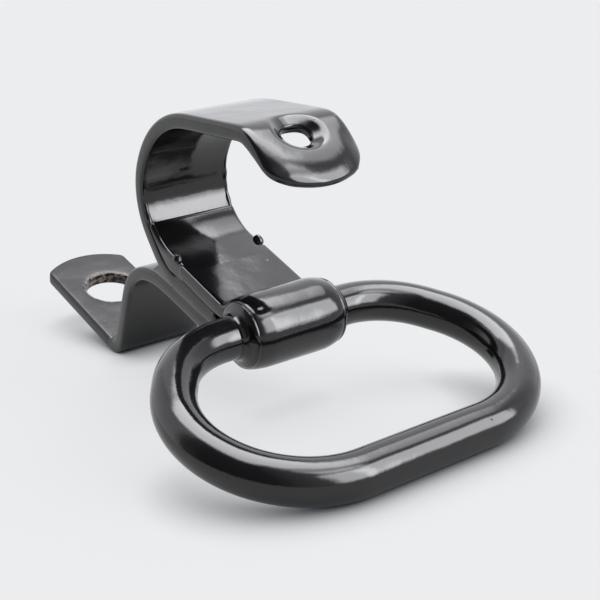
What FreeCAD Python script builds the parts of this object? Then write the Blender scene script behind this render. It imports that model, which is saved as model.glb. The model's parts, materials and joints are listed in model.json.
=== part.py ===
"""Sash lift handle: a forged-looking hook and hinge bracket of flat bar, welded together,
with a closed pull ring of round bar that swings in the bracket's rolled knuckle.

Every piece is drawn in the hinge frame: the ring's hinge line is the Y axis, +X runs towards
the front bar of the ring, and +Z points up through the mouth of the hook. Lengths are in
millimetres and angles in degrees. At the end the whole handle is tipped forward so that it
stands on the bend of its foot and on the front bar of the ring, with the floor at Z = 0.
"""
import FreeCAD, Part
import math
import os

Vec = FreeCAD.Vector

# --- flat bar -------------------------------------------------------------------------------
STRAP_WIDTH = 20.0        # width of the flat bar
STRAP_THICK = 3.0         # thickness of the flat bar
EDGE_ROUND = 0.7          # rounding along the long edges of the flat bar
HALF = STRAP_THICK / 2

# --- pull ring ------------------------------------------------------------------------------
ROD_R = 4.0               # radius of the round bar
REAR_HALF = 13.5          # half length of the straight that lies in the knuckle
REAR_BEND_R = 17.5        # bends next to the knuckle
REAR_BEND_DEG = 55.6
SIDE_RUN = 2.4            # short straight between the two bends on each side
FRONT_BEND_R = 20.0       # bends next to the front bar
RING_WELD_LENGTH = 1.6    # butt weld that closes the ring, inside the knuckle

# --- knuckle --------------------------------------------------------------------------------
HINGE_CLEAR = 0.05        # radial running clearance of the ring's bar in the knuckle
BORE_R = ROD_R + HINGE_CLEAR
KNUCKLE_R = BORE_R + HALF             # radius of the strap's centreline round the bar
THROAT_R = 3.0                        # centreline radius where the knuckle turns into the flap

# --- the three layers behind the knuckle, heights of their centrelines ------------------------
LAYER_LOW = -5.1          # bracket, running back towards the web
LAYER_MID = -2.1          # foot of the hook, held between the two
LAYER_TOP = 0.9           # flap, the folded-back end of the bracket
FLAP_END_X = -22.0        # rear end of the flap
HOOK_START_X = -8.3       # front end of the hook's strap, close behind the ring's bar

# --- hook -----------------------------------------------------------------------------------
HOOK_SEAT_END_X = -22.4   # where the hook starts to curve up
HOOK_BENDS = (            # centreline of the hook after the seat: (radius, degrees) or (length,)
    (12.8, 37.3),
    (4.6,),
    (12.8, 64.0),
    (20.8, 61.7),
    (18.0,),
)
TIP_BEND_R = 5.0
TIP_BEND_DEG = 34.5
TIP_LENGTH = 12.7         # from the end of the tip's bend to its very end
END_ARC_R = 14.5          # both ends of the flat bar are cropped to this arc
TIP_CORNER_R = (2.6, 5.6)             # left and right corner of the tip
TIP_HOLE_R = 2.8
TIP_SINK_R = 4.7          # mouth of the countersink
TIP_SINK_DEPTH = 1.4
TIP_HOLE_BACK = 1.0       # hole centre, forward of the end of the tip's bend

# --- bracket --------------------------------------------------------------------------------
FOOT_MID_Z = -31.9        # centreline height of the foot
FOOT_END_X = -82.4
FOOT_BEND_R = 4.0
WEB_HEADING = 81.0        # the web leans forward by 9 degrees
RIDGE_R = 11.3            # tight upper bend of the ridge
RIDGE_EASE_R = 20.0       # easier bend that runs into the lower layer
RIDGE_EASE_DEG = 21.4
RIDGE_END_X = -27.5
STEP_R = 20.0             # the lower layer steps up a little behind the knuckle
FOOT_HOLE_R = 6.0
FOOT_HOLE_X = -66.5
FOOT_HOLE_Y = 0.5
FOOT_CORNER_R = 1.2

# --- welds ----------------------------------------------------------------------------------
WELD_HALF_WIDTH = 9.4
BEAD_R = 1.5


def polar(angle):
    """Unit vector in the X-Z plane, angle measured from +X towards +Z."""
    a = math.radians(angle)
    return Vec(math.cos(a), 0, math.sin(a))


def walk(start, heading, steps, offset):
    """Edges of the line that runs `offset` to the left of a bent centreline, and where it ends.

    A step (length,) is straight; a step (radius, degrees) is a bend, positive degrees to the left.
    """
    here = Vec(start)
    edges = []
    for step in steps:
        left = polar(heading + 90)
        if len(step) == 1:
            there = here + polar(heading) * step[0]
            edges.append(Part.makeLine(here + left * offset, there + left * offset))
        else:
            radius, turn = step
            side = 1 if turn > 0 else -1
            centre = here + left * (side * radius)
            middle = centre - polar(heading + turn / 2 + 90) * (side * radius)
            there = centre - polar(heading + turn + 90) * (side * radius)
            points = []
            for point, angle in ((here, heading), (middle, heading + turn / 2), (there, heading + turn)):
                points.append(point + polar(angle + 90) * offset)
            edges.append(Part.Arc(*points).toShape())
            heading += turn
        here = there
    return edges, here, heading


def strap(start, heading, steps):
    """Flat bar bent along a centreline in the X-Z plane, centred on Y = 0."""
    left, _, _ = walk(start, heading, steps, HALF)
    right, _, _ = walk(start, heading, steps, -HALF)
    first = left[0].firstVertex(True).Point
    last = left[-1].lastVertex(True).Point
    other_first = right[0].firstVertex(True).Point
    other_last = right[-1].lastVertex(True).Point
    caps = [Part.makeLine(last, other_last), Part.makeLine(other_first, first)]
    wire = Part.Wire(Part.__sortEdges__(left + right + caps))
    solid = Part.Face(wire).extrude(Vec(0, STRAP_WIDTH, 0))
    solid.translate(Vec(0, -STRAP_WIDTH / 2, 0))
    return solid


def rounded_edges(solid, radius):
    """Round the long edges of a strap: those that lie in one of its two side faces."""
    edges = []
    for edge in solid.Edges:
        box = edge.BoundBox
        flat = box.YLength < 1e-6
        at_side = abs(abs(box.YMin) - STRAP_WIDTH / 2) < 1e-6
        if flat and at_side:
            edges.append(edge)
    return solid.makeFillet(radius, edges)


def end_cutter(arc_sign, corners):
    """Waste around a cropped end: the local X axis points out of the strap, origin at the end."""
    reach = 12.0
    deep = 8.0
    block = Part.makeBox(reach + 4, 2 * reach, 2 * deep, Vec(-reach, -reach, -deep))
    keep = Part.makeBox(reach + 8, STRAP_WIDTH, 2 * deep, Vec(-reach - 4, -STRAP_WIDTH / 2, -deep))
    arc = Part.makeCylinder(END_ARC_R, 2 * deep, Vec(-END_ARC_R, 0, -deep))
    back = Part.makeBox(reach, STRAP_WIDTH, 2 * deep, Vec(-reach - END_ARC_R, -STRAP_WIDTH / 2, -deep))
    keep = keep.common(arc.fuse(back)).removeSplitter()
    for radius, side in zip(corners, (-1, 1)):
        picked = []
        for edge in keep.Edges:
            box = edge.BoundBox
            upright = box.ZLength > 2 * deep - 0.01 and box.XLength < 1e-6
            if upright and abs(box.YMin - side * STRAP_WIDTH / 2) < 1e-6 and box.XMin > -reach + 1:
                picked.append(edge)
        keep = keep.makeFillet(radius, picked)
    cutter = block.cut(keep)
    if arc_sign < 0:
        cutter.rotate(Vec(0, 0, 0), Vec(0, 0, 1), 180)
    return cutter


def bracket_steps():
    """Centreline of the bracket from the end of the foot to the rear end of the flap."""
    web = polar(WEB_HEADING)
    ease = math.radians(RIDGE_EASE_DEG)
    ridge_top = Vec(RIDGE_END_X, 0, LAYER_LOW)
    ease_start = ridge_top - Vec(RIDGE_EASE_R * math.sin(ease), 0, RIDGE_EASE_R * (1 - math.cos(ease)))
    w = math.radians(WEB_HEADING)
    ridge_start = ease_start - Vec(
        RIDGE_R * (math.sin(w) - math.sin(ease)), 0, RIDGE_R * (math.cos(ease) - math.cos(w)))
    tangent = FOOT_BEND_R * math.tan(w / 2)
    to_corner = (ridge_start.z - FOOT_MID_Z) / web.z
    corner = ridge_start - web * to_corner
    step_deg = math.degrees(math.acos(1 - (LAYER_LOW + KNUCKLE_R) / (2 * STEP_R)))
    step_run = 2 * STEP_R * math.sin(math.radians(step_deg))
    rise = LAYER_TOP + THROAT_R
    flap_start_x = -math.sqrt((KNUCKLE_R + THROAT_R) ** 2 - rise ** 2)
    throat_deg = math.degrees(math.atan2(rise, flap_start_x)) - 90
    steps = (
        (corner.x - tangent - FOOT_END_X,),
        (FOOT_BEND_R, WEB_HEADING),
        (to_corner - tangent,),
        (RIDGE_R, RIDGE_EASE_DEG - WEB_HEADING),
        (RIDGE_EASE_R, -RIDGE_EASE_DEG),
        (-step_run - RIDGE_END_X,),
        (STEP_R, -step_deg),
        (STEP_R, step_deg),
        (KNUCKLE_R, 180 + throat_deg),
        (THROAT_R, -throat_deg),
        (flap_start_x - FLAP_END_X,),
    )
    bend_centre = Vec(corner.x - tangent, 0, FOOT_MID_Z + FOOT_BEND_R)
    return steps, bend_centre


def make_bracket(steps):
    """Foot, web, ridge, lower layer, knuckle and flap: one length of flat bar."""
    start = Vec(FOOT_END_X, 0, FOOT_MID_Z)
    body = strap(start, 0, steps)
    cutter = end_cutter(-1, (FOOT_CORNER_R, FOOT_CORNER_R))
    cutter.translate(Vec(FOOT_END_X, 0, FOOT_MID_Z))
    plain = body.copy()
    body = rounded_edges(body, EDGE_ROUND).cut(cutter)
    hole = Part.makeCylinder(FOOT_HOLE_R, 10, Vec(FOOT_HOLE_X, FOOT_HOLE_Y, FOOT_MID_Z - 5))
    return body.cut(hole), plain


def hook_steps():
    """Centreline of the hook from its front end to its tip: every bend turns to the right."""
    steps = [(HOOK_START_X - HOOK_SEAT_END_X,)]
    for bend in HOOK_BENDS:
        steps.append(bend if len(bend) == 1 else (bend[0], -bend[1]))
    steps.append((TIP_BEND_R, -TIP_BEND_DEG))
    return steps


def make_hook():
    """Seat, back, top leg and drooping tip with its countersunk hole."""
    start = Vec(HOOK_START_X, 0, LAYER_MID)
    steps = hook_steps()
    _, bend_end, heading = walk(start, 180, steps, 0)
    body = strap(start, 180, steps + [(TIP_LENGTH,)])
    plain = body.copy()
    cutter = end_cutter(1, TIP_CORNER_R)
    cutter.rotate(Vec(0, 0, 0), Vec(0, 1, 0), -heading)
    cutter.translate(bend_end + polar(heading) * TIP_LENGTH)
    body = rounded_edges(body, EDGE_ROUND).cut(cutter)
    normal = polar(heading + 90)
    centre = bend_end + polar(heading) * TIP_HOLE_BACK
    hole = Part.makeCylinder(TIP_HOLE_R, 16, centre - normal * 8, normal)
    slope = (TIP_SINK_R - TIP_HOLE_R) / TIP_SINK_DEPTH
    over = 4.0
    sink = Part.makeCone(TIP_HOLE_R, TIP_HOLE_R + slope * (TIP_SINK_DEPTH + over), TIP_SINK_DEPTH + over,
                         centre + normal * (HALF - TIP_SINK_DEPTH), normal)
    return body.cut(hole).cut(sink), plain


def ring_path():
    """Half of the ring's centreline on the +Y side, from the weld to the middle of the front bar."""
    points = []
    here = Vec(0, RING_WELD_LENGTH / 2, 0)
    there = Vec(0, REAR_HALF, 0)
    points.append(Part.makeLine(here, there))
    heading = 90.0
    here = there
    for radius, turn, run in (
            (REAR_BEND_R, REAR_BEND_DEG, SIDE_RUN),
            (FRONT_BEND_R, 180 - REAR_BEND_DEG, 0)):
        a = math.radians(heading)
        right = Vec(math.sin(a), -math.cos(a), 0)
        centre = here + right * radius
        arc_points = [here]
        for part in (0.5, 1.0):
            b = math.radians(heading - turn * part)
            arc_points.append(centre - Vec(math.sin(b), -math.cos(b), 0) * radius)
        points.append(Part.Arc(*arc_points).toShape())
        heading -= turn
        here = arc_points[-1]
        if run:
            a = math.radians(heading)
            there = here + Vec(math.cos(a), math.sin(a), 0) * run
            points.append(Part.makeLine(here, there))
            here = there
    points.append(Part.makeLine(here, Vec(here.x, 0, 0)))
    return points, here.x


def make_ring():
    """Closed loop of round bar, open only at the butt weld, and the weld itself."""
    half, front_x = ring_path()
    halves = []
    for side in (1, -1):
        mouth = Part.Wire(Part.makeCircle(ROD_R, Vec(0, RING_WELD_LENGTH / 2, 0), Vec(0, 1, 0)))
        bar = Part.Wire(half).makePipeShell([mouth], True, True)
        if side < 0:
            bar = bar.mirror(Vec(0, 0, 0), Vec(0, 1, 0))
        halves.append(bar)
    ring = halves[0].fuse(halves[1]).removeSplitter()
    weld = Part.makeCylinder(ROD_R, RING_WELD_LENGTH, Vec(0, -RING_WELD_LENGTH / 2, 0), Vec(0, 1, 0))
    return ring, weld, front_x


def weld_strip(outline, neighbours):
    """Weld metal with a side outline of straight lines, trimmed where it meets the flat bars."""
    points = [Vec(x, -WELD_HALF_WIDTH, z) for x, z in outline]
    face = Part.Face(Part.makePolygon(points + [points[0]]))
    solid = face.extrude(Vec(0, 2 * WELD_HALF_WIDTH, 0))
    for other in neighbours:
        solid = solid.cut(other)
    return max(solid.Solids, key=lambda part: part.Volume)


def concave(start, end, radius, count=6):
    """Points of a hollow curve that leaves `start` level, running backwards and up to `end`."""
    points = []
    reach = start[0] - end[0]
    for i in range(count + 1):
        run = reach * i / count
        rise = radius - math.sqrt(radius ** 2 - run ** 2)
        points.append((start[0] - run, start[1] + rise))
    return points


def make_welds(hook, bracket):
    """Fillet behind the flap, fillet in the crotch under the hook, and the two end beads."""
    flap_top = LAYER_TOP + HALF
    hollow = concave((-25.5, flap_top), (-31.8, 0), 17.0)
    outline = [(FLAP_END_X, -2.0), (FLAP_END_X, flap_top)] + hollow + [(-31.0, 0.5), (-26.0, -2.0)]
    flap_weld = weld_strip(outline, (hook, bracket))
    crotch = [(-24.4, -2.0), (-24.4, -4.5), (-31.0, -5.0), (-31.2, -3.7), (-30.3, -2.75), (-29.3, -1.7),
              (-29.0, -1.0)]
    crotch_weld = weld_strip(crotch, (hook, bracket))
    beads = []
    for side in (-1, 1):
        bead = Part.makeSphere(BEAD_R, Vec(FLAP_END_X - 0.7, side * 9.0, flap_top + 0.3))
        for other in (hook, bracket, flap_weld):
            bead = bead.cut(other)
        beads.append(max(bead.Solids, key=lambda part: part.Volume))
    return flap_weld, crotch_weld, beads[0], beads[1]


def stand_tilt(bend_centre, front_x):
    """Angle by which the handle tips forward until foot bend and front bar share one floor."""
    foot_r = FOOT_BEND_R + HALF
    dx = front_x - bend_centre.x
    dz = -bend_centre.z
    return math.degrees(math.atan2(dz, dx) + math.asin((foot_r - ROD_R) / math.hypot(dx, dz)))


def main():
    os.makedirs("parts", exist_ok=True)
    steps, bend_centre = bracket_steps()
    bracket, plain_bracket = make_bracket(steps)
    hook, plain_hook = make_hook()
    ring, ring_weld, front_x = make_ring()
    flap_weld, crotch_weld, bead_left, bead_right = make_welds(plain_hook, plain_bracket)
    nodes = {
        "hook_strap": hook,
        "hinge_bracket": bracket,
        "pull_ring": ring,
        "ring_weld": ring_weld,
        "flap_weld": flap_weld,
        "crotch_weld": crotch_weld,
        "weld_bead_left": bead_left,
        "weld_bead_right": bead_right,
    }
    tilt = stand_tilt(bend_centre, front_x)
    for shape in nodes.values():
        shape.rotate(Vec(0, 0, 0), Vec(0, 1, 0), tilt)
    box = Part.makeCompound(list(nodes.values())).optimalBoundingBox(False)
    shift = Vec(-(box.XMin + box.XMax) / 2, 0, -box.ZMin)
    print("tilt", round(tilt, 4), "shift", [round(v, 4) for v in shift])
    print("hinge line at", [round(v, 4) for v in shift], "front bar", round(front_x, 3))
    print("overall", round(box.XLength, 2), round(box.YLength, 2), round(box.ZLength, 2))
    for name, shape in nodes.items():
        shape.translate(shift)
        solid = shape.Solids[0]
        print(name, len(shape.Solids), solid.isValid(), round(solid.Volume, 1))
        solid.exportStep("parts/" + name + ".step")


main()
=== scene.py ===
# %% [markdown]
# # A hook and pull ring in black enamel
#
# The real thing is a piece of window and shutter hardware: a hook and a stepped bracket, both
# bent from 20 x 3 mm flat bar and welded together, and an oval ring of 8 mm round bar that swings
# in a knuckle rolled from the end of the bracket. All of it is dipped in thick, glossy enamel.
#
# The CAD model is loaded first and fixes every size. Each CAD node is then given a better
# looking stand-in here, made the way its maker works: cut the bar flat, punch it, then bend it.

import json
import math

import bmesh
import bpy
from mathutils import Matrix, Vector


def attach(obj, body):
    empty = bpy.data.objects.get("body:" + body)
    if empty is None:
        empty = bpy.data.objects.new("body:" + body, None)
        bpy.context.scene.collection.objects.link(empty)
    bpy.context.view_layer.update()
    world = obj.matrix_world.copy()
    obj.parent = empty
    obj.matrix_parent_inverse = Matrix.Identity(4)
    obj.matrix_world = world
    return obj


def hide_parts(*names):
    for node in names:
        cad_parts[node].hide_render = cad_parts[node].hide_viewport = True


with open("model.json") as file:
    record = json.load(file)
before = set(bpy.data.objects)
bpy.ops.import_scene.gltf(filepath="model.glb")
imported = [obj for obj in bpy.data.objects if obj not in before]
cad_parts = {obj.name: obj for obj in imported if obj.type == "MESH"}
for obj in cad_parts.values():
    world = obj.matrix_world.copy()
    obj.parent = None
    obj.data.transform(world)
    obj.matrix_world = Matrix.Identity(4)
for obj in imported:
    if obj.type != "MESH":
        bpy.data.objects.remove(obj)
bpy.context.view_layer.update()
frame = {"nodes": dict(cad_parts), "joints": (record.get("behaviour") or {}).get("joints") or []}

# %% [markdown]
# ## Drawing on the hinge line
#
# The sizes of the bars are easiest to say from the hinge line: X towards the front bar of the
# ring, Z up, in millimetres. The finished handle stands tipped forward on its foot and its ring,
# so one matrix turns, scales and moves every piece from that drawing to its place. It is applied
# to the mesh and not to the object, so each object stays at the origin like a CAD node.

# %% From the drawing to the floor
LEAN = math.radians(18.3686)
hinge_point = Vector(frame["joints"][0]["pos_m"])
STAND = Matrix.Translation(hinge_point) @ Matrix.Rotation(LEAN, 4, "Y") @ Matrix.Scale(0.001, 4)
print("hinge line at", [round(1000 * v, 2) for v in hinge_point], "mm")


def finish_piece(name, bm, body, nodes, smooth_levels):
    """Stands a drawn mesh in its place and makes it a piece that rides on a body."""
    bm.transform(STAND)
    bmesh.ops.remove_doubles(bm, verts=bm.verts, dist=1e-6)
    bmesh.ops.recalc_face_normals(bm, faces=bm.faces)
    mesh = bpy.data.meshes.new(name)
    bm.to_mesh(mesh)
    bm.free()
    for face in mesh.polygons:
        face.use_smooth = True
    piece = bpy.data.objects.new(name, mesh)
    bpy.context.scene.collection.objects.link(piece)
    if smooth_levels:
        subdivision = piece.modifiers.new("smooth", "SUBSURF")
        subdivision.levels = smooth_levels
        subdivision.render_levels = smooth_levels
    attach(piece, body)
    if nodes:
        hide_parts(*nodes)
    print(f"{name}: {len(mesh.polygons)} faces before smoothing, rides on {body}")
    return piece


# %% [markdown]
# ## Bending a flat bar
#
# A bent bar could be swept along a curve, but then its end, its corners and its hole would have
# to be cut out of curved metal. It is easier to do what the smith does. The bar is made flat,
# with X as the distance along it, and the last step rolls it up: every point keeps its distance
# along the bar, its place across it and its height over the middle of the metal.
#
# A bend is told as (radius, degrees), where positive degrees turn left, and a straight run as
# (length,). Rows of faces are close together in the bends and further apart on the runs, because
# the subdivision surface that smooths the bar at the end follows its rows.

# %% The path of a bent bar
def trace(start, heading, steps):
    """The runs and bends of a path: where each starts, which way it points and how it curves."""
    x, z = start
    along = 0.0
    parts = []
    for step in steps:
        angle = math.radians(heading)
        if len(step) == 1:
            parts.append((along, step[0], x, z, angle, 0.0))
            x += step[0] * math.cos(angle)
            z += step[0] * math.sin(angle)
            along += step[0]
        else:
            radius, turn = step
            curve = math.copysign(1 / radius, turn)
            length = radius * math.radians(abs(turn))
            parts.append((along, length, x, z, angle, curve))
            after = angle + math.radians(turn)
            x += (math.sin(after) - math.sin(angle)) / curve
            z -= (math.cos(after) - math.cos(angle)) / curve
            along += length
            heading += turn
    return parts


def bend(bm, parts):
    """Rolls up a flat bar: X is the distance along the path, Z the height to its left."""
    for vert in bm.verts:
        along, across, height = vert.co
        part = [p for p in parts if p[0] <= along + 1e-9]
        start, _, x, z, angle, curve = part[-1] if part else parts[0]
        run = along - start
        after = angle + run * curve
        if curve:
            x += (math.sin(after) - math.sin(angle)) / curve
            z -= (math.cos(after) - math.cos(angle)) / curve
        else:
            x += run * math.cos(angle)
            z += run * math.sin(angle)
        vert.co = (x - height * math.sin(after), across, z + height * math.cos(after))


def rows_of(parts, row_degrees, longest_run):
    """Distances along a path for the rows of faces, closer together in the bends."""
    rows = [0.0]
    for start, length, _, _, _, curve in parts:
        if curve:
            count = max(1, round(math.degrees(length * abs(curve)) / row_degrees))
        else:
            count = max(1, math.ceil(length / longest_run))
        rows += [start + length * i / count for i in range(1, count + 1)]
    return rows


# %% [markdown]
# ## Cutting and punching the blank
#
# The blank starts as a flat grid. Its outermost columns and rows are narrow, because a
# subdivision surface rounds an edge more tightly where two rows of faces run close beside it:
# that is what gives the bar the soft, paint-filled edges of the real one. The grid is given its
# thickness in two extrusions, so that the side has a row of its own to stand upright on.
#
# The cropped end of the bar is an arc, with a filleted corner on either side. The rows near the
# end are pushed back to follow the arc, and every point in a corner is drawn in towards the
# centre of the fillet.

# %% Blank, ends and holes
HALF_WIDTH = 10.0
HALF_THICK = 1.5
EDGE_ROW = 1.15            # width of the narrow outer faces, which sets how round the edge is
COLUMNS = (-1, -0.88, -0.6, -0.3, 0, 0.3, 0.6, 0.88, 1)
END_ARC = 14.5


def flat_blank(rows, edge_row, half_width):
    """A flat bar with a row of faces between each two distances, and rounded long edges."""
    bm = bmesh.new()
    bmesh.ops.create_grid(bm, x_segments=len(rows) - 1, y_segments=len(COLUMNS) - 1, size=0.5)
    for vert in bm.verts:
        row = round((vert.co.x + 0.5) * (len(rows) - 1))
        column = round((vert.co.y + 0.5) * (len(COLUMNS) - 1))
        across = HALF_WIDTH * COLUMNS[column]
        if column in (1, len(COLUMNS) - 2):
            across = math.copysign(HALF_WIDTH - edge_row(rows[row]), across)
        vert.co = (rows[row], across * half_width(rows[row]) / HALF_WIDTH, -HALF_THICK)
    skin = bm.faces[:]
    for layer in range(2):
        raised = bmesh.ops.extrude_face_region(bm, geom=skin)
        verts = [g for g in raised["geom"] if isinstance(g, bmesh.types.BMVert)]
        bmesh.ops.translate(bm, verts=verts, vec=(0, 0, HALF_THICK))
        if layer:
            bmesh.ops.delete(bm, geom=[f for f in skin if f.is_valid], context="FACES_ONLY")
        skin = [g for g in raised["geom"] if isinstance(g, bmesh.types.BMFace)]
    return bm


def ramp(value, low, high):
    """0 up to low, 1 from high on, and a smooth step in between."""
    t = min(1.0, max(0.0, (value - low) / (high - low)))
    return t * t * (3 - 2 * t)


def crop_end(bm, end, side, corner_radii, edge, reach):
    """Crops an end of the flat bar to an arc with filleted corners; side is 1 for the far end."""
    for vert in bm.verts:
        inward = side * (end - vert.co.x)
        if inward > reach:
            continue
        share = 1 - max(0.0, inward - edge) / (reach - edge)
        vert.co.x -= side * share * (END_ARC - math.sqrt(END_ARC ** 2 - vert.co.y ** 2))
    middle = Vector((end - side * END_ARC, 0))
    for radius, flank in zip(corner_radii, (-1, 1)):
        out = math.sqrt((END_ARC - radius) ** 2 - (HALF_WIDTH - radius) ** 2)
        centre = middle + Vector((side * out, flank * (HALF_WIDTH - radius)))
        last = (centre - middle).normalized()
        for vert in bm.verts:
            arm = Vector((vert.co.x, vert.co.y)) - centre
            if arm.length < 1e-6 or side * arm.x < 0:
                continue
            ray = arm.normalized()
            if flank * ray.y < flank * last.y:
                continue
            to_side = radius / max(1e-6, flank * ray.y)
            lever = ray.dot(centre - middle)
            to_arc = -lever + math.sqrt(lever ** 2 + END_ARC ** 2 - (END_ARC - radius) ** 2)
            arm *= radius / min(to_side, to_arc)
            vert.co.x = centre.x + arm.x
            vert.co.y = centre.y + arm.y


def pillow_end(bm, end, depth, reach):
    """Lets the top face fall away towards the cropped end and, half as much, towards the flanks."""
    for vert in bm.verts:
        rim = end - END_ARC + math.sqrt(max(0.0, END_ARC ** 2 - vert.co.y ** 2))
        near_end = max(0.0, 1 - (rim - vert.co.x) / reach)
        on_tip = ramp(vert.co.x, end - 2 * reach, end - reach)
        near_side = max(0.0, 1 - (HALF_WIDTH - abs(vert.co.y)) / 4.0) * on_tip
        height = (vert.co.z + HALF_THICK) / (2 * HALF_THICK)
        vert.co.z -= depth * height * min(1.0, near_end ** 2 + 0.5 * near_side ** 2)


def pillow_knuckle(bm, start, end):
    """Lets the outer face of the knuckle fall away towards both ends of the roll."""
    for vert in bm.verts:
        if vert.co.z < 0.01 - HALF_THICK and start < vert.co.x < end:
            share = ramp(vert.co.x, start, start + 5) * ramp(-vert.co.x, -end, -end + 3)
            vert.co.z += 0.75 * share * max(0.0, (abs(vert.co.y) - 6.0) / 4.0) ** 2


def punch(bm, along, across, reach, half_span, profile):
    """Drills a straight hole, then presses its loops to (radius, height), top face first."""
    gone = []
    for face in bm.faces:
        middle = face.calc_center_median()
        inside = reach[0] < middle.x < reach[1] and abs(middle.y) < half_span
        if inside and abs(middle.z) > 0.4 * HALF_THICK:
            gone.append(face)
    bmesh.ops.delete(bm, geom=gone, context="FACES")
    rim = [edge for edge in bm.edges if edge.is_boundary]
    ring = [edge for edge in rim if edge.verts[0].co.z > 0]
    last = [edge for edge in rim if edge.verts[0].co.z < 0]
    count = len(ring)
    lining = []
    for i, (radius, height) in enumerate(profile):
        drilled = HALF_THICK * (1 - 2 * (i + 1) / (len(profile) + 1))
        place = Matrix.Translation((along, 0, drilled))
        made = bmesh.ops.create_circle(bm, segments=count, radius=radius, matrix=place)
        lining.append((made["verts"], Vector((0, across, height - drilled))))
        circle = list({edge for vert in made["verts"] for edge in vert.link_edges})
        bmesh.ops.bridge_loops(bm, edges=ring + circle)
        ring = circle
    bmesh.ops.bridge_loops(bm, edges=ring + last)
    for verts, press in lining:
        bmesh.ops.translate(bm, verts=verts, vec=press)
    print(f"  hole with {count} faces round its rim")


# %% [markdown]
# ## The bracket
#
# One length of flat bar makes the foot, the web, the ridge, the lower layer, the knuckle and the
# flap that is folded back over the hook. The list below is its path, from the end of the foot.

# %% Path of the bracket
KNUCKLE_R = 5.55
THROAT_R = 3.4
FLAP_RISE = 2.5             # degrees by which the flap climbs towards its rear end
LAYER_LOW = -5.1
LAYER_TOP = 0.9
FOOT_START = (-82.4, -31.9)
RIDGE_END = (-27.5, LAYER_LOW)
FLAP_END = -22.0
FOOT_R = 4.0
RIDGE_R = 11.3
EASE_R = 20.0
STEP_R = 20.0
WEB_DEGREES = 81.0
EASE_DEGREES = 21.4

web_angle = math.radians(WEB_DEGREES)
ease_angle = math.radians(EASE_DEGREES)
ridge_x = RIDGE_END[0] - EASE_R * math.sin(ease_angle)
ridge_x -= RIDGE_R * (math.sin(web_angle) - math.sin(ease_angle))
ridge_z = LAYER_LOW - EASE_R * (1 - math.cos(ease_angle))
ridge_z -= RIDGE_R * (math.cos(ease_angle) - math.cos(web_angle))
web_length = (ridge_z - FOOT_START[1]) / math.sin(web_angle)
foot_corner = ridge_x - web_length * math.cos(web_angle)
foot_tangent = FOOT_R * math.tan(web_angle / 2)
step_angle = math.acos(1 - (LAYER_LOW + KNUCKLE_R) / (2 * STEP_R))
step_run = 2 * STEP_R * math.sin(step_angle)
throat_x = -math.sqrt((KNUCKLE_R + THROAT_R) ** 2 - (LAYER_TOP + THROAT_R) ** 2)
throat_degrees = math.degrees(math.atan2(LAYER_TOP + THROAT_R, throat_x)) - 90

bracket_steps = (
    (foot_corner - foot_tangent - FOOT_START[0],),  # foot
    (FOOT_R, WEB_DEGREES),
    (web_length - foot_tangent,),  # web
    (RIDGE_R, EASE_DEGREES - WEB_DEGREES),  # ridge
    (EASE_R, -EASE_DEGREES),
    (-step_run - RIDGE_END[0],),  # lower layer
    (STEP_R, -math.degrees(step_angle)),
    (STEP_R, math.degrees(step_angle)),
    (KNUCKLE_R, 180 + throat_degrees),  # knuckle
    (THROAT_R, -throat_degrees - FLAP_RISE),
    (throat_x - FLAP_END,),  # flap
)
bracket_path = trace(FOOT_START, 0, bracket_steps)
foot_run = bracket_path[0][1]
knuckle_start = bracket_path[8][0]
knuckle_end = bracket_path[9][0]
print(f"bracket: foot {foot_run:.1f} mm, knuckle from {knuckle_start:.1f} to {knuckle_end:.1f} mm")

# %% [markdown]
# The rows of the bracket are close around its hole, so that the square opening in the grid is
# only a little larger than the round hole that is fitted into it. On the knuckle the bar is a
# little narrower and its edges are rounder, because the paint has run off there. The foot gets a
# finish number of its own, while the bar is still flat and the foot is easy to tell by distance.

# %% Bracket
ROW_DEGREES = 11.0
LONGEST_RUN = 5.0
FOOT_HOLE = (-66.5 - FOOT_START[0], 0.5)
FOOT_WINDOW = 8.85
FOOT_CORNER_R = 1.6
FOOT_ARC_REACH = 6.5
FOOT_FINISH = 1
ROUNDER = 1.5
NARROWER = 0.35

bent_rows = rows_of(bracket_path, ROW_DEGREES, LONGEST_RUN)
hole_rows = [FOOT_HOLE[0] + d for d in (-FOOT_WINDOW, -6, -3, 0, 3, 6, FOOT_WINDOW)]
foot_rows = [0.0, EDGE_ROW, 4.0] + hole_rows + [foot_run - 8, foot_run - 4]
bracket_rows = foot_rows + [r for r in bent_rows if r > foot_run - 0.1]
bracket_rows = sorted(bracket_rows + [bent_rows[-1] - EDGE_ROW])
print(f"bracket: {bracket_rows[-1]:.1f} mm of flat bar in {len(bracket_rows)} rows")


def bracket_edge(along):
    """Width of the edge rows, which grows on the knuckle."""
    onto = ramp(along, knuckle_start - 4, knuckle_start)
    off = ramp(-along, -knuckle_end - 5, -knuckle_end)
    return EDGE_ROW + ROUNDER * onto * off


def bracket_half(along):
    """Half the width of the bar, which shrinks on the knuckle."""
    onto = ramp(along, knuckle_start, knuckle_start + 6)
    off = ramp(-along, -knuckle_end - 3, -knuckle_end + 2)
    return HALF_WIDTH - NARROWER * onto * off


bm = flat_blank(bracket_rows, bracket_edge, bracket_half)
pillow_knuckle(bm, knuckle_start, knuckle_end)
crop_end(bm, 0.0, -1, (FOOT_CORNER_R, FOOT_CORNER_R), EDGE_ROW, FOOT_ARC_REACH)
foot_profile = ((6.75, 1.5), (6.1, 1.35), (6.0, 0.6), (6.0, -0.7), (6.15, -1.35), (6.8, -1.5))
punch(bm, *FOOT_HOLE, (hole_rows[0], hole_rows[-1]), FOOT_WINDOW, foot_profile)
for face in bm.faces:
    if face.calc_center_median().x < foot_run:
        face.material_index = FOOT_FINISH
bend(bm, bracket_path)
bracket = finish_piece("bracket_bar", bm, "bracket", ["hinge_bracket"], 3)

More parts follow.
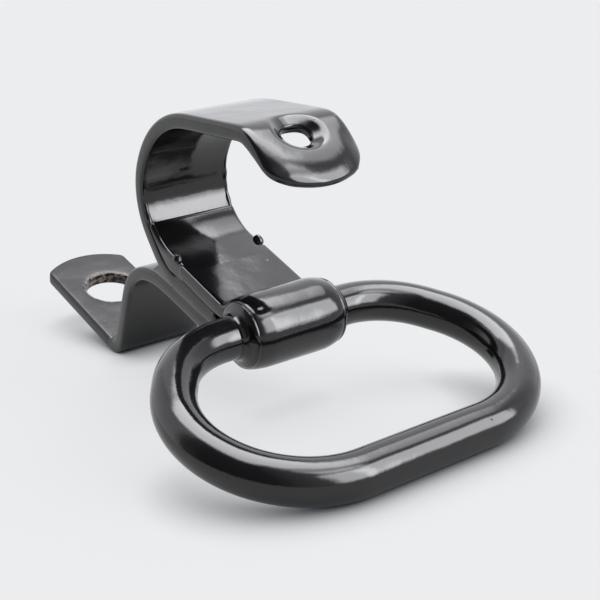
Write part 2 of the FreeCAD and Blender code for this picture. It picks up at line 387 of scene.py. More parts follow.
# %% [markdown]
# ## The hook
#
# A second length of the same bar lies between the lower layer and the flap, curls up and over in
# three bends and droops at its tip. A hole is punched there from the top, and the punch has
# dragged the metal in with it. The profile of that hole is a dish first and a straight hole below.

# %% Hook
HOOK_START = (-8.3, -2.1)
TIP_LENGTH = 12.7
TIP_CORNERS = (3.4, 6.6)
hook_steps = (
    (14.1,),  # seat
    (12.8, -37.3),
    (4.6,),
    (12.8, -64.0),  # back
    (20.8, -61.7),
    (18.0,),  # top leg
    (5.0, -34.5),
    (TIP_LENGTH,),  # tip
)
hook_path = trace(HOOK_START, 180, hook_steps)
tip_start = hook_path[-1][0]
hook_end = tip_start + TIP_LENGTH
hole_rows = [tip_start + d for d in (-5.0, -3.2, -1.6, 0.0, 2.0, 4.5, 7.0)]
tip_rows = hole_rows + [hook_end - 4.2, hook_end - 2.4, hook_end]
body_rows = [r for r in rows_of(hook_path[:-2], 8.0, 4.5) if r < hole_rows[0] - 1.5]
hook_rows = sorted([EDGE_ROW] + body_rows + tip_rows)
print(f"hook: {hook_end:.1f} mm of flat bar in {len(hook_rows)} rows")


def hook_edge(along):
    """Width of the edge rows, which grows towards the tip."""
    return EDGE_ROW + ROUNDER * ramp(along, hook_end - 22, hook_end - 8)


bm = flat_blank(hook_rows, hook_edge, lambda along: HALF_WIDTH)
crop_end(bm, hook_end, 1, TIP_CORNERS, 2.4, 7.5)
pillow_end(bm, hook_end, 1.5, 6.5)
tip_profile = ((5.35, 1.5), (4.75, 1.32), (4.1, 0.85), (3.3, 0.3), (2.85, 0.05),
               (2.75, -0.7), (2.85, -1.35), (3.4, -1.5))
punch(bm, tip_start + 1.0, 0.0, (hole_rows[0], hole_rows[-1]), 6.0, tip_profile)
bend(bm, hook_path)
hook = finish_piece("hook_bar", bm, "bracket", ["hook_strap"], 3)

# %% [markdown]
# ## The pull ring
#
# Round bar is swept, because its section is the same circle all the way. A circle of points is
# spun through each bend and extruded along each straight, and each step starts from the edge loop
# that the last one left. The ring is closed by a butt weld that sits in the knuckle, so the bar
# starts and ends there.

# %% Ring
ROD_R = 4.0
WELD_HALF = 0.8
REAR_HALF = 13.5
REAR_R = 17.5
FRONT_R = 20.0
CHEEK = 2.4
REAR_DEGREES = 55.6
ROD_SIDES = 48
FRONT_DEGREES = 180 - REAR_DEGREES
half_ring = ((REAR_HALF - WELD_HALF,), (REAR_R, REAR_DEGREES), (CHEEK,), (FRONT_R, FRONT_DEGREES))
rear_angle = math.radians(REAR_DEGREES)
front_half = REAR_HALF + (REAR_R - FRONT_R) * math.sin(rear_angle) + CHEEK * math.cos(rear_angle)

bm = bmesh.new()
place = Matrix.Translation((0, WELD_HALF, 0)) @ Matrix.Rotation(math.radians(90), 4, "X")
loop = bmesh.ops.create_circle(bm, segments=ROD_SIDES, radius=ROD_R, matrix=place)["verts"]
loop += list({edge for vert in loop for edge in vert.link_edges})
here = Vector((0, WELD_HALF, 0))
heading = math.radians(90)
for step in half_ring + ((2 * front_half,),) + half_ring[::-1]:
    ahead = Vector((math.cos(heading), math.sin(heading), 0))
    if len(step) == 1:
        count = max(1, round(step[0] / 6))
        for _ in range(count):
            edges = [g for g in loop if isinstance(g, bmesh.types.BMEdge)]
            loop = bmesh.ops.extrude_edge_only(bm, edges=edges)["geom"]
            verts = [g for g in loop if isinstance(g, bmesh.types.BMVert)]
            bmesh.ops.translate(bm, verts=verts, vec=ahead * step[0] / count)
            loop = verts + [e for e in bm.edges if e.verts[0] in verts and e.verts[1] in verts]
        here += ahead * step[0]
    else:
        radius, turn = step
        centre = here + Vector((ahead.y, -ahead.x, 0)) * radius
        angle = -math.radians(turn)
        made = bmesh.ops.spin(bm, geom=loop, cent=centre, axis=(0, 0, 1), angle=angle,
                              steps=round(turn / 3))
        loop = [g for g in made["geom_last"] if not isinstance(g, bmesh.types.BMFace)]
        here = centre + Matrix.Rotation(angle, 3, "Z") @ (here - centre)
        heading += angle
print("ring closes within", round((here - Vector((0, -WELD_HALF, 0))).length, 3), "mm")
ring = finish_piece("ring_bar", bm, "ring", ["pull_ring"], 0)

# %% [markdown]
# ## Welds that were painted over
#
# The flap's end, the crotch under the hook and the seams between the three layers were filled,
# first with weld metal and then with paint. A filler could be sculpted, but it has the same
# section all the way across the bar. So it is drawn as its outline seen from the side, extruded
# across the bar, and bevelled at both ends so that it runs out softly at the edges.
#
# The hollow behind the flap lies along the top of the flap, and then bends up until it meets the
# inner wall of the hook without a corner. That is why its outline borrows the same walk along runs
# and bends that draws the bars.

# %% Fillers
def filler(outline, half_width, soft, segments):
    """A strip with a side outline, reaching half_width either way across the bar."""
    bm = bmesh.new()
    rim = [bm.verts.new((x, -half_width, z)) for x, z in outline]
    side = bm.faces.new(rim)
    grown = bmesh.ops.extrude_face_region(bm, geom=[side])
    verts = [g for g in grown["geom"] if isinstance(g, bmesh.types.BMVert)]
    bmesh.ops.translate(bm, verts=verts, vec=(0, 2 * half_width, 0))
    bmesh.ops.recalc_face_normals(bm, faces=bm.faces)
    ends = [e for e in bm.edges if e.verts[0].co.y == e.verts[1].co.y]
    bmesh.ops.bevel(bm, geom=ends, offset=soft, offset_type="OFFSET", segments=segments,
                    profile=0.5, affect="EDGES", clamp_overlap=True, material=-1)
    return bm


def arc_points(start, heading, radius, turn, count):
    """Points along one bend, from the same walk that draws the bars."""
    part = trace(start, heading, ((radius, turn),))[0]
    points = []
    for i in range(count + 1):
        after = part[4] + part[5] * part[1] * i / count
        points.append((part[2] + (math.sin(after) - math.sin(part[4])) / part[5],
                       part[3] - (math.cos(after) - math.cos(part[4])) / part[5]))
    return points


FILL_HALF = 9.75
HOLLOW_R = 12.0
HOLLOW_START = -26.2
HOLLOW_TURN = -37.5
flap_slope = math.tan(math.radians(FLAP_RISE))
PAINT_OVER = 0.02


def flap_top(x):
    """Height of the paint over the flap, which climbs towards its rear end."""
    return LAYER_TOP + HALF_THICK + PAINT_OVER + (throat_x - x) * flap_slope


hollow_from = (HOLLOW_START, flap_top(HOLLOW_START))
hollow = arc_points(hollow_from, 180 - FLAP_RISE, HOLLOW_R, HOLLOW_TURN, 14)
sunk = ((-13.0, 0.35), (-18.5, 0.03), (-20.0, 0), (-22.0, 0))
on_flap = [(x, flap_top(x) - depth) for x, depth in sunk]
buried = [(-35.5, 5.0), (-33.0, 2.0), (-29.0, -0.9), (-24.0, -1.6), (-18.0, 0.0)]
bm = filler(on_flap + hollow + buried, FILL_HALF, 0.9, 4)
flap_fill = finish_piece("flap_weld_fill", bm, "bracket", ["flap_weld"], 0)

in_seam = [(-9.5, 0.4), (-9.5, -4.2), (-15.0, -4.9), (-27.0, -4.9), (-31.6, -4.6), (-31.9, -3.5),
           (-31.2, -2.6), (-30.2, -1.6), (-28.0, 0.2)]
bm = filler(in_seam, FILL_HALF, 0.5, 2)
seam_fill = finish_piece("seam_fill", bm, "bracket", ["crotch_weld"], 0)

# %% [markdown]
# ## Collars of paint at the knuckle
#
# Enamel creeps into a narrow gap and dries there in a hollow curve. At both ends of the knuckle it
# has closed the end of the roll to a dome and reaches a little way out along the ring's bar. Each
# collar is turned like a piece on a lathe: a profile of radius and distance, spun round the hinge
# line. A turned shape looks the same at any angle, so the ring can swing through it.

# %% Collars
COLLAR_PROFILE = (
    (5.4, 8.6), (6.1, 9.1), (6.35, 9.5), (6.2, 9.9), (5.7, 10.22), (5.1, 10.42),  # dome
    (4.7, 10.62), (4.4, 10.95), (4.18, 11.45), (4.02, 12.0),  # hollow
    (3.9, 12.0), (3.9, 8.6),  # bore
)


def turned(profile, side):
    """A closed profile of (radius, distance) spun round the hinge line, on one side of it."""
    bm = bmesh.new()
    points = [bm.verts.new((radius, side * distance, 0)) for radius, distance in profile]
    edges = [bm.edges.new((points[i - 1], points[i])) for i in range(len(points))]
    bmesh.ops.spin(bm, geom=points + edges, cent=(0, 0, 0), axis=(0, 1, 0), angle=math.tau,
                   steps=64, use_merge=True, use_duplicate=False)
    return bm


collars = []
for side, name in ((-1, "knuckle_collar_left"), (1, "knuckle_collar_right")):
    collars.append(finish_piece(name, turned(COLLAR_PROFILE, side), "bracket", [], 0))

# %% [markdown]
# ## Runs and drops
#
# Paint gathers on sharp edges while it drips, and leaves a thick line along the inner edges of the
# hook that ends in a drop at each corner of the flap. A run is a thin tube: a circle extruded row
# by row along the flat bar, each row scaled by a few slow waves, and bent with the same path as
# the hook. A drop starts as a sphere that is squashed against the bar and drawn out towards the
# run above it.

# %% Runs and drops
RUN_SIDES = 12
RUN_ROW = 0.5
INNER_SIDE = -1.32          # height at which a run sits on the edge of the inner side


def edge_run(start, end, across, height, radius, lumps):
    """A tapering line of paint along the flat bar, from one distance to another."""
    bm = bmesh.new()
    turn = Matrix.Rotation(math.radians(90), 4, "Y")
    made = bmesh.ops.create_circle(bm, segments=RUN_SIDES, radius=radius, matrix=turn)
    row = made["verts"]
    edges = list({edge for vert in row for edge in vert.link_edges})
    steps = round((end - start) / RUN_ROW)
    rows = [row]
    for _ in range(steps):
        grown = bmesh.ops.extrude_edge_only(bm, edges=edges)["geom"]
        row = [g for g in grown if isinstance(g, bmesh.types.BMVert)]
        edges = [g for g in grown if isinstance(g, bmesh.types.BMEdge)
                 and g.verts[0] in row and g.verts[1] in row]
        rows.append(row)
    for i, row in enumerate(rows):
        along = start + (end - start) * i / steps
        taper = math.sin(math.pi * min(1.0, max(0.02, i / steps))) ** 0.4
        lump = 1 + 0.16 * math.sin(lumps * along) + 0.1 * math.sin(2.3 * lumps * along + 1)
        for vert in row:
            vert.co = (along, across + vert.co.y * taper * lump, height + vert.co.z * taper * lump)
    for end_row in (rows[0], rows[-1]):
        rim = [e for e in bm.edges if e.is_boundary and e.verts[0] in end_row]
        bmesh.ops.contextual_create(bm, geom=rim)
    return bm


def drop(place, size, tail):
    """A squashed sphere with a tail drawn out upwards and back."""
    bm = bmesh.new()
    bmesh.ops.create_uvsphere(bm, u_segments=28, v_segments=20, radius=1.0)
    for vert in bm.verts:
        pull = max(0.0, vert.co.z) ** 2
        shrink = 1 - 0.15 * pull
        vert.co = Vector((vert.co.x * size[0] * shrink - 0.8 * tail * pull,
                          vert.co.y * size[1] * shrink,
                          vert.co.z * size[2] + tail * pull)) + Vector(place)
    return bm


runs = []
for name, start, end, across, radius, lumps in (
    ("paint_run_right", 24.5, 43.0, 9.35, 0.5, 0.9),
    ("paint_run_left", 25.0, 37.0, -9.35, 0.48, 1.1),
):
    bm = edge_run(start, end, across, INNER_SIDE, radius, lumps)
    bend(bm, hook_path)
    runs.append(finish_piece(name, bm, "bracket", [], 0))
drops = []
for name, node, place, size, tail in (
    ("paint_drop_right", "weld_bead_right", (-23.3, 9.35, 3.0), (1.35, 1.0, 1.0), 0.15),
    ("paint_drop_left", "weld_bead_left", (-23.6, -9.3, 3.0), (1.15, 0.9, 0.9), 0.25),
):
    drops.append(finish_piece(name, drop(place, size, tail), "bracket", [node], 0))

# %% [markdown]
# ## The studio sky
#
# Glossy black shows almost nothing of its own colour. What the eye reads as its shape is the
# studio mirrored in it, so the studio matters more than the paint. Lamps would do, but their edges
# are sharp. Here the softboxes are painted into the sky instead, where each can have soft edges.
#
# For each box, a mapping node turns the sky so that the box lies straight ahead. Dividing by the
# depth gives a place on the flat front of the box, and a smooth range fades it out at its edges.

# %% Softboxes
world = bpy.data.worlds.new("studio")
bpy.context.scene.world = world
world.use_nodes = True
nodes = world.node_tree.nodes
links = world.node_tree.links
nodes.clear()

sky_frame = nodes.new("NodeFrame")
sky_frame.label = "Grey walls of the studio"
direction = nodes.new("ShaderNodeTexCoord")
direction.label = "Direction of view"
direction.location = (-1900, 0)


def softbox(title, facing, sideways, centre, half_size, fade, brightness, top):
    """One soft-edged rectangle of light in the sky; gives the socket with its brightness."""
    group = nodes.new("NodeFrame")
    group.label = title
    turn = nodes.new("ShaderNodeMapping")
    turn.label = "Turn the box to straight ahead"
    turn.location = (-1600, top)
    parts = nodes.new("ShaderNodeSeparateXYZ")
    parts.label = "Depth towards the box"
    parts.location = (-1400, top)
    flatten = nodes.new("ShaderNodeVectorMath")
    flatten.label = "Place on its flat front"
    flatten.location = (-1200, top)
    shift = nodes.new("ShaderNodeVectorMath")
    shift.label = "Measured from its middle"
    shift.location = (-1000, top)
    sizes = nodes.new("ShaderNodeVectorMath")
    sizes.label = "Either way from the middle"
    sizes.location = (-800, top)
    edges = nodes.new("ShaderNodeMapRange")
    edges.label = "Fade at the edges"
    edges.location = (-600, top)
    axes = nodes.new("ShaderNodeSeparateXYZ")
    axes.label = "Width and height"
    axes.location = (-400, top)
    area = nodes.new("ShaderNodeMath")
    area.label = "Inside both"
    area.location = (-200, top)
    front = nodes.new("ShaderNodeMath")
    front.label = "Only in front"
    front.location = (-1200, top - 200)
    gate = nodes.new("ShaderNodeMath")
    gate.label = "Not behind"
    gate.location = (0, top)
    power = nodes.new("ShaderNodeMath")
    power.label = "Brightness"
    power.location = (200, top)
    for node in (turn, parts, flatten, shift, sizes, edges, axes, area, front, gate, power):
        node.parent = group

    facing = Vector(facing).normalized()
    sideways = Vector(sideways).normalized()
    upwards = facing.cross(sideways)
    turn.inputs["Rotation"].default_value = Matrix((sideways, upwards, facing)).to_euler("XYZ")
    flatten.operation = "DIVIDE"
    shift.operation = "SUBTRACT"
    shift.inputs[1].default_value = (centre[0], centre[1], 1)
    sizes.operation = "ABSOLUTE"
    edges.data_type = "FLOAT_VECTOR"
    edges.interpolation_type = "SMOOTHSTEP"
    # sockets 6 to 10 of a map range are the vector, from min, from max, to min and to max
    edges.inputs[7].default_value = (half_size[0] - fade, half_size[1] - fade, 1)
    edges.inputs[8].default_value = (half_size[0] + fade, half_size[1] + fade, 2)
    edges.inputs[9].default_value = (1, 1, 1)
    edges.inputs[10].default_value = (0, 0, 0)
    area.operation = "MULTIPLY"
    front.operation = "GREATER_THAN"
    front.inputs[1].default_value = 0.05
    gate.operation = "MULTIPLY"
    power.operation = "MULTIPLY"
    power.inputs[1].default_value = brightness

    links.new(direction.outputs["Generated"], turn.inputs["Vector"])
    links.new(turn.outputs["Vector"], parts.inputs["Vector"])
    links.new(turn.outputs["Vector"], flatten.inputs[0])
    links.new(parts.outputs["Z"], flatten.inputs[1])
    links.new(flatten.outputs["Vector"], shift.inputs[0])
    links.new(shift.outputs["Vector"], sizes.inputs[0])
    links.new(sizes.outputs["Vector"], edges.inputs[6])
    links.new(edges.outputs["Vector"], axes.inputs["Vector"])
    links.new(axes.outputs["X"], area.inputs[0])
    links.new(axes.outputs["Y"], area.inputs[1])
    links.new(parts.outputs["Z"], front.inputs[0])
    links.new(area.outputs["Value"], gate.inputs[0])
    links.new(front.outputs["Value"], gate.inputs[1])
    links.new(gate.outputs["Value"], power.inputs[0])
    print(f"{title}: brightness {brightness}")
    return power.outputs["Value"]


OVERHEAD = ((0, 0, 1), (1, 0, 0))                           # facing, sideways
SIDE = ((0.908, 0.330, 0.259), (-0.342, 0.940, 0))
boxes = (
    # title, wall, middle, half size, fade, brightness, place in the editor
    softbox("Overhead softbox", *OVERHEAD, (-0.19, 0.16), (0.41, 0.43), 0.10, 8.2, 1400),
    softbox("Spill beside it", *OVERHEAD, (0.42, 0.27), (0.22, 0.28), 0.10, 3.2, 900),
    softbox("Glow behind it", *OVERHEAD, (-0.02, 0.72), (0.36, 0.16), 0.10, 3.2, 400),
    softbox("Side softbox", *SIDE, (0.24, 0.22), (0.52, 0.38), 0.09, 7.2, -100),
    softbox("Spill above it", *SIDE, (0.12, 0.78), (0.26, 0.24), 0.10, 3.8, -1600),
    softbox("Bright tube in it", *SIDE, (0.17, 0.08), (0.07, 0.42), 0.04, 5.5, -600),
)

# %% [markdown]
# ## Grey walls
#
# Between the boxes the room is not black. Its walls differ in brightness all the way round, so
# the compass bearing of the view goes through a colour ramp, and the boxes are added on top.
# The studio is only meant to be seen in the paint. Where the eye looks past the floor it meets a
# plain pale wall, because a light path node tells a direct look from a reflected one.

# %% Walls
split = nodes.new("ShaderNodeSeparateXYZ")
split.label = "East and north parts"
split.location = (-1600, -1100)
bearing = nodes.new("ShaderNodeMath")
bearing.label = "Compass bearing"
bearing.location = (-1400, -1100)
turn_share = nodes.new("ShaderNodeMapRange")
turn_share.label = "Share of a full turn"
turn_share.location = (-1200, -1100)
walls = nodes.new("ShaderNodeValToRGB")
walls.label = "Grey of the walls"
walls.location = (-1000, -1100)
wall_power = nodes.new("ShaderNodeMath")
wall_power.label = "Brightness of the walls"
wall_power.location = (-600, -1100)
for node in (split, bearing, turn_share, walls, wall_power):
    node.parent = sky_frame
tint = nodes.new("ShaderNodeVectorMath")
tint.label = "Cool tint of the lamps"
tint.location = (900, 0)
sky = nodes.new("ShaderNodeBackground")
sky.label = "Sky"
sky.location = (1100, 0)
seen_frame = nodes.new("NodeFrame")
seen_frame.label = "Plain wall behind the table"
ray = nodes.new("ShaderNodeLightPath")
ray.label = "Seen directly"
ray.location = (1100, 400)
plain = nodes.new("ShaderNodeBackground")
plain.label = "Plain pale wall"
plain.location = (1100, -150)
choose = nodes.new("ShaderNodeMixShader")
choose.label = "Wall to the eye, studio to the paint"
choose.location = (1300, 0)
ray.parent = seen_frame
plain.parent = seen_frame
out = nodes.new("ShaderNodeOutputWorld")
out.label = "Studio"
out.location = (1500, 0)

WALL_BRIGHTNESS = 2.0
WALL_GREYS = (  # bearing in degrees, grey
    (-180, 0.42), (-155, 0.60), (-130, 0.68), (-116, 0.14), (-95, 0.05), (-40, 0.05), (-12, 0.26),
    (20, 0.40), (60, 0.36), (84, 0.42), (104, 0.66), (130, 0.80), (160, 0.62),
)
bearing.operation = "ARCTAN2"
turn_share.inputs["From Min"].default_value = -math.pi
turn_share.inputs["From Max"].default_value = math.pi
for i, (angle, grey) in enumerate(WALL_GREYS):
    at = (angle + 180) / 360
    stop = walls.color_ramp.elements[i] if i < 2 else walls.color_ramp.elements.new(at)
    stop.position = at
    stop.color = (grey, grey, grey, 1)
wall_power.operation = "MULTIPLY"
wall_power.inputs[1].default_value = WALL_BRIGHTNESS
plain.inputs["Color"].default_value = (0.82, 0.83, 0.845, 1)
tint.operation = "SCALE"
tint.inputs[0].default_value = (0.985, 0.99, 1.025)

links.new(direction.outputs["Generated"], split.inputs["Vector"])
links.new(split.outputs["Y"], bearing.inputs[0])
links.new(split.outputs["X"], bearing.inputs[1])
links.new(bearing.outputs["Value"], turn_share.inputs["Value"])
links.new(turn_share.outputs["Result"], walls.inputs["Fac"])
links.new(walls.outputs["Color"], wall_power.inputs[0])
total = wall_power.outputs["Value"]
for i, box in enumerate(boxes):
    adding = nodes.new("ShaderNodeMath")
    adding.label = "Add the next light"
    adding.location = (500, 400 - 300 * i)
    adding.operation = "ADD"
    links.new(total, adding.inputs[0])
    links.new(box, adding.inputs[1])
    total = adding.outputs["Value"]
links.new(total, tint.inputs["Scale"])
links.new(tint.outputs["Vector"], sky.inputs["Color"])
links.new(ray.outputs["Is Camera Ray"], choose.inputs["Fac"])
links.new(sky.outputs["Background"], choose.inputs[1])
links.new(plain.outputs["Background"], choose.inputs[2])
links.new(choose.outputs["Shader"], out.inputs["Surface"])
print("studio sky:", len(nodes), "nodes")

# %% [markdown]
# ## The pale floor
#
# The floor is almost the same pale grey everywhere, as on a shop's light table, and has only
# short shadows. A plain white floor would show long ones. So most of its light is a glow of its
# own, which is turned down in the narrow spaces under the metal by ambient occlusion, and only a
# small share is paper that catches the softboxes.

# %% Floor
FLOOR_HALF = 30.0
bm = bmesh.new()
bmesh.ops.create_grid(bm, x_segments=1, y_segments=1, size=FLOOR_HALF)
mesh = bpy.data.meshes.new("floor")
bm.to_mesh(mesh)
bm.free()
floor = bpy.data.objects.new("floor", mesh)
bpy.context.scene.collection.objects.link(floor)

paper = bpy.data.materials.new("pale_paper")
paper.use_nodes = True
nodes = paper.node_tree.nodes
links = paper.node_tree.links
nodes.clear()
shade_frame = nodes.new("NodeFrame")
shade_frame.label = "Short shadows"
paper_frame = nodes.new("NodeFrame")
paper_frame.label = "Paper"
crevice = nodes.new("ShaderNodeAmbientOcclusion")
crevice.label = "How open the floor is"
crevice.location = (-600, 200)
deepen = nodes.new("ShaderNodeValToRGB")
deepen.label = "Glow, blue in the shade"
deepen.location = (-400, 200)
glow = nodes.new("ShaderNodeEmission")
glow.label = "Glow of the table"
glow.location = (0, 200)
diffuse = nodes.new("ShaderNodeBsdfDiffuse")
diffuse.label = "Paper"
diffuse.location = (0, 0)
both = nodes.new("ShaderNodeAddShader")
both.label = "Glow and paper"
both.location = (200, 100)
out = nodes.new("ShaderNodeOutputMaterial")
out.label = "Floor"
out.location = (400, 100)
for node in (crevice, deepen, glow):
    node.parent = shade_frame
diffuse.parent = paper_frame

crevice.inputs["Distance"].default_value = 0.011
deepen.color_ramp.elements[0].position = 0.10
deepen.color_ramp.elements[0].color = (0.0, 0.004, 0.008, 1)
deepen.color_ramp.elements[1].position = 0.92
deepen.color_ramp.elements[1].color = (0.655, 0.665, 0.68, 1)
diffuse.inputs["Color"].default_value = (0.060, 0.059, 0.056, 1)

links.new(crevice.outputs["AO"], deepen.inputs["Fac"])
links.new(deepen.outputs["Color"], glow.inputs["Color"])
links.new(glow.outputs["Emission"], both.inputs[0])
links.new(diffuse.outputs["BSDF"], both.inputs[1])
links.new(both.outputs["Shader"], out.inputs["Surface"])
mesh.materials.append(paper)
print("floor laid,", 2 * FLOOR_HALF, "m square")

# %% [markdown]
# ## Black enamel
#
# Thick dipped enamel is a black body colour under a clear, smooth top. One principled shader does
# both: nearly black, with the refractive index of paint. What makes it look dipped and not
# moulded is its skin, in three sizes. Slow swells of some centimetres come from the drip, orange
# peel of a millimetre comes from drying, and a few specks of dust have settled in it. The first
# two are noise textures through bump nodes, and the dust is the middle of scattered cells.

# %% Enamel
def enamel(name, swell_height, smoothest, roughest, ior):
    """Black dipped enamel, with its swells in metres and its roughness between two values."""
    material = bpy.data.materials.new(name)
    material.use_nodes = True
    nodes = material.node_tree.nodes
    links = material.node_tree.links
    nodes.clear()
    skin = nodes.new("NodeFrame")
    skin.label = "Swells and orange peel"
    dirt = nodes.new("NodeFrame")
    dirt.label = "Dust in the paint"
    gloss = nodes.new("NodeFrame")
    gloss.label = "Cloudy gloss"
    place = nodes.new("ShaderNodeTexCoord")
    place.label = "Place on the metal"
    place.location = (-1500, 0)
    waves = nodes.new("ShaderNodeTexNoise")
    waves.label = "Swells from the drip"
    waves.location = (-1200, 0)
    peel = nodes.new("ShaderNodeTexNoise")
    peel.label = "Orange peel"
    peel.location = (-1200, -300)
    cells = nodes.new("ShaderNodeTexVoronoi")
    cells.label = "Scattered specks"
    cells.location = (-1200, -600)
    speck = nodes.new("ShaderNodeMapRange")
    speck.label = "Middle of each speck"
    speck.location = (-1000, -600)
    chosen = nodes.new("ShaderNodeMath")
    chosen.label = "Only some of them"
    chosen.location = (-1000, -850)
    dust = nodes.new("ShaderNodeMath")
    dust.label = "Dust"
    dust.location = (-800, -600)
    haze = nodes.new("ShaderNodeTexNoise")
    haze.label = "Clouds in the gloss"
    haze.location = (-1200, 350)
    rough = nodes.new("ShaderNodeMapRange")
    rough.label = "From glossy to less so"
    rough.location = (-900, 350)
    swell = nodes.new("ShaderNodeBump")
    swell.label = "Swells"
    swell.location = (-700, 0)
    grain = nodes.new("ShaderNodeBump")
    grain.label = "Orange peel"
    grain.location = (-500, -200)
    grit = nodes.new("ShaderNodeBump")
    grit.label = "Dust standing up"
    grit.location = (-300, -400)
    paint = nodes.new("ShaderNodeBsdfPrincipled")
    paint.label = "Black enamel"
    paint.location = (0, 0)
    out = nodes.new("ShaderNodeOutputMaterial")
    out.label = "Surface"
    out.location = (300, 0)
    for node in (waves, peel, swell, grain):
        node.parent = skin
    for node in (cells, speck, chosen, dust, grit):
        node.parent = dirt
    for node in (haze, rough):
        node.parent = gloss

    waves.inputs["Scale"].default_value = 120
    waves.inputs["Detail"].default_value = 1.5
    peel.inputs["Scale"].default_value = 900
    peel.inputs["Detail"].default_value = 1.0
    cells.inputs["Scale"].default_value = 420
    speck.inputs["From Min"].default_value = 0.05
    speck.inputs["From Max"].default_value = 0.13
    speck.inputs["To Min"].default_value = 1.0
    speck.inputs["To Max"].default_value = 0.0
    chosen.operation = "GREATER_THAN"
    chosen.inputs[1].default_value = 0.80
    dust.operation = "MULTIPLY"
    haze.inputs["Scale"].default_value = 90
    rough.inputs["To Min"].default_value = smoothest
    rough.inputs["To Max"].default_value = roughest
    swell.inputs["Strength"].default_value = 0.4
    swell.inputs["Distance"].default_value = swell_height
    grain.inputs["Strength"].default_value = 0.12
    grain.inputs["Distance"].default_value = 0.0001
    grit.inputs["Strength"].default_value = 0.5
    grit.inputs["Distance"].default_value = 0.0001
    paint.inputs["Base Color"].default_value = (0.0024, 0.0024, 0.0028, 1)
    paint.inputs["IOR"].default_value = ior

    for texture in (waves, peel, cells, haze):
        links.new(place.outputs["Object"], texture.inputs["Vector"])
    links.new(cells.outputs["Distance"], speck.inputs["Value"])
    links.new(cells.outputs["Color"], chosen.inputs[0])
    links.new(speck.outputs["Result"], dust.inputs[0])
    links.new(chosen.outputs["Value"], dust.inputs[1])
    links.new(waves.outputs["Fac"], swell.inputs["Height"])
    links.new(peel.outputs["Fac"], grain.inputs["Height"])
    links.new(dust.outputs["Value"], grit.inputs["Height"])
    links.new(swell.outputs["Normal"], grain.inputs["Normal"])
    links.new(grain.outputs["Normal"], grit.inputs["Normal"])
    links.new(grit.outputs["Normal"], paint.inputs["Normal"])
    links.new(haze.outputs["Fac"], rough.inputs["Value"])
    links.new(rough.outputs["Result"], paint.inputs["Roughness"])
    links.new(paint.outputs["BSDF"], out.inputs["Surface"])
    print(f"{name}: {len(nodes)} nodes")
    return material


SWELL = 0.0004
black = enamel("black_enamel", SWELL, 0.08, 0.17, 1.53)
bracket.data.materials.append(black)
for piece in (hook, ring, flap_fill, seam_fill, *collars, *runs, *drops):
    piece.data.materials.append(black)

# %% [markdown]
# ## Worn enamel on the foot
#
# The foot has been handled and screwed down once. Its paint is duller, and the rim of its hole is
# chipped down to rusty steel. It is the same enamel, so the same function makes it with a rougher,
# weaker shine, and the wear is added after. The distance from the middle of the hole, broken up by
# noise, says where the paint is gone. There the colour and the roughness are mixed over. The
# bracket carries both finishes, and its foot has the number of the second.

# %% Worn foot
worn = enamel("worn_enamel", SWELL, 0.18, 0.26, 1.38)
nodes = worn.node_tree.nodes
links = worn.node_tree.links
paint = next(node for node in nodes if node.label == "Black enamel")
gloss_from = paint.inputs["Roughness"].links[0].from_socket
place = next(node for node in nodes if node.label == "Place on the metal")

wear_frame = nodes.new("NodeFrame")
wear_frame.label = "Chips at the rim and the end"
from_hole = nodes.new("ShaderNodeVectorMath")
from_hole.label = "Distance from the hole"
from_hole.location = (-1200, 900)
rim_band = nodes.new("ShaderNodeMapRange")
rim_band.label = "Fades away from the rim"
rim_band.location = (-1000, 900)
end_band = nodes.new("ShaderNodeMapRange")
end_band.label = "Only at the very end"
end_band.location = (-1000, 1150)
where = nodes.new("ShaderNodeMath")
where.label = "Rim or end"
where.location = (-800, 1000)
chips = nodes.new("ShaderNodeTexNoise")
chips.label = "Ragged chips"
chips.location = (-1200, 650)
ragged = nodes.new("ShaderNodeMath")
ragged.label = "Chips near the rim"
ragged.location = (-600, 900)
bare = nodes.new("ShaderNodeMapRange")
bare.label = "Paint is gone"
bare.location = (-400, 900)
rust = nodes.new("ShaderNodeMix")
rust.label = "Paint or rusty steel"
rust.location = (-200, 700)
rough_chips = nodes.new("ShaderNodeMix")
rough_chips.label = "Rough where bare"
rough_chips.location = (-200, 1100)
for node in (from_hole, rim_band, end_band, where, chips, ragged, bare, rust, rough_chips):
    node.parent = wear_frame

hole_x = FOOT_START[0] + FOOT_HOLE[0]
hole_top = FOOT_START[1] + HALF_THICK
from_hole.operation = "DISTANCE"
from_hole.inputs[1].default_value = STAND @ Vector((hole_x, FOOT_HOLE[1], hole_top))
rim_band.inputs["From Min"].default_value = 0.0062
rim_band.inputs["From Max"].default_value = 0.0086
rim_band.inputs["To Min"].default_value = 0.62
rim_band.inputs["To Max"].default_value = 0.0
end_band.inputs["From Min"].default_value = 0.0146
end_band.inputs["From Max"].default_value = 0.0162
end_band.inputs["To Min"].default_value = 0.0
end_band.inputs["To Max"].default_value = 0.34
where.operation = "MAXIMUM"
chips.inputs["Scale"].default_value = 950
chips.inputs["Detail"].default_value = 4.0
ragged.operation = "MULTIPLY"
bare.inputs["From Min"].default_value = 0.26
bare.inputs["From Max"].default_value = 0.32
rust.data_type = "RGBA"
# sockets 6 and 7 of a mix are its two colours, 2 and 3 its two numbers
rust.inputs[6].default_value = paint.inputs["Base Color"].default_value
rust.inputs[7].default_value = (0.105, 0.088, 0.076, 1)
rough_chips.inputs[3].default_value = 0.6

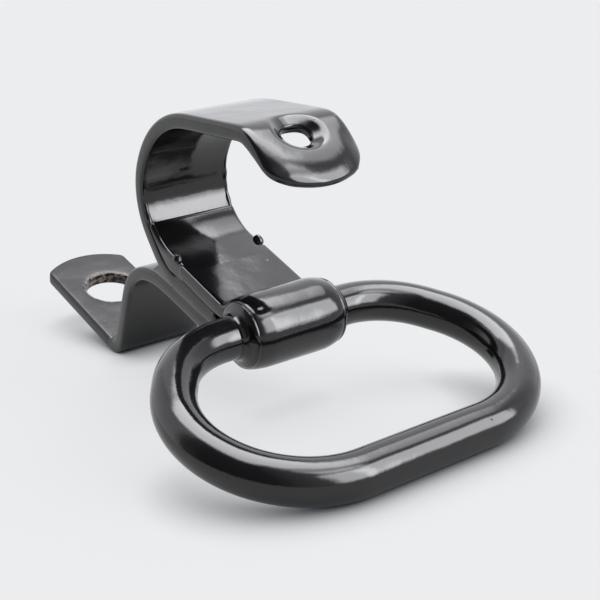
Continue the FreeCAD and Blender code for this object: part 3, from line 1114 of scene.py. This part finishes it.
links.new(place.outputs["Object"], from_hole.inputs[0])
links.new(from_hole.outputs["Value"], rim_band.inputs["Value"])
links.new(from_hole.outputs["Value"], end_band.inputs["Value"])
links.new(rim_band.outputs["Result"], where.inputs[0])
links.new(end_band.outputs["Result"], where.inputs[1])
links.new(place.outputs["Object"], chips.inputs["Vector"])
links.new(where.outputs["Value"], ragged.inputs[0])
links.new(chips.outputs["Fac"], ragged.inputs[1])
links.new(ragged.outputs["Value"], bare.inputs["Value"])
links.new(bare.outputs["Result"], rust.inputs["Factor"])
links.new(rust.outputs[2], paint.inputs["Base Color"])
links.new(gloss_from, rough_chips.inputs[2])
links.new(bare.outputs["Result"], rough_chips.inputs["Factor"])
links.new(rough_chips.outputs[0], paint.inputs["Roughness"])
bracket.data.materials.append(worn)
print("worn foot:", len(nodes), "nodes")

# %% [markdown]
# ## Ground steel for the hidden weld
#
# The weld that closes the ring lies inside the knuckle, where no paint reached it. Its CAD node is
# shown as it is, with a steel that has fine scratches round the bar: a noise that is squeezed
# along one axis, so that its spots become lines.

# %% Ground steel
steel = bpy.data.materials.new("ground_steel")
steel.use_nodes = True
nodes = steel.node_tree.nodes
links = steel.node_tree.links
nodes.clear()
scratch_frame = nodes.new("NodeFrame")
scratch_frame.label = "Grinding marks"
place = nodes.new("ShaderNodeTexCoord")
place.label = "Place on the metal"
place.location = (-900, 0)
squeeze = nodes.new("ShaderNodeMapping")
squeeze.label = "Squeeze across the bar"
squeeze.location = (-700, 0)
marks = nodes.new("ShaderNodeTexNoise")
marks.label = "Grinding marks"
marks.location = (-500, 0)
depth = nodes.new("ShaderNodeBump")
depth.label = "Depth of the marks"
depth.location = (-300, -100)
metal = nodes.new("ShaderNodeBsdfPrincipled")
metal.label = "Bare steel"
metal.location = (0, 0)
out = nodes.new("ShaderNodeOutputMaterial")
out.label = "Surface"
out.location = (300, 0)
for node in (squeeze, marks, depth):
    node.parent = scratch_frame

squeeze.inputs["Scale"].default_value = (1, 12, 1)
marks.inputs["Scale"].default_value = 600
depth.inputs["Strength"].default_value = 0.3
depth.inputs["Distance"].default_value = 0.0001
metal.inputs["Base Color"].default_value = (0.32, 0.31, 0.30, 1)
metal.inputs["Metallic"].default_value = 1.0
metal.inputs["Roughness"].default_value = 0.38

links.new(place.outputs["Object"], squeeze.inputs["Vector"])
links.new(squeeze.outputs["Vector"], marks.inputs["Vector"])
links.new(marks.outputs["Fac"], depth.inputs["Height"])
links.new(depth.outputs["Normal"], metal.inputs["Normal"])
links.new(metal.outputs["BSDF"], out.inputs["Surface"])
ring_weld = frame["nodes"]["ring_weld"]
ring_weld.data.materials.clear()
ring_weld.data.materials.append(steel)
print("ring weld: ground steel")

# %% [markdown]
# ## Camera
#
# A long lens from close by, a little above the ring, looks past its open side at the hook. The
# three columns of the matrix are the right, the up and the backward direction of the camera, and
# the last is its place.

# %% Camera
SENSOR_MM = 36.0
LENS_MM = 73.32
camera_data = bpy.data.cameras.new("camera")
camera_data.sensor_width = SENSOR_MM
camera_data.lens = LENS_MM
camera_data.clip_start = 0.01
camera = bpy.data.objects.new("camera", camera_data)
bpy.context.scene.collection.objects.link(camera)
camera.matrix_world = Matrix((
    (0.58109, -0.20233, 0.78830, 0.20280),
    (0.81033, 0.23381, -0.53731, -0.11867),
    (-0.07559, 0.95100, 0.29982, 0.08869),
    (0, 0, 0, 1),
))
bpy.context.scene.camera = camera
bpy.context.scene.view_settings.view_transform = "Standard"
print("camera at", [round(v, 3) for v in camera.matrix_world.translation], "m")
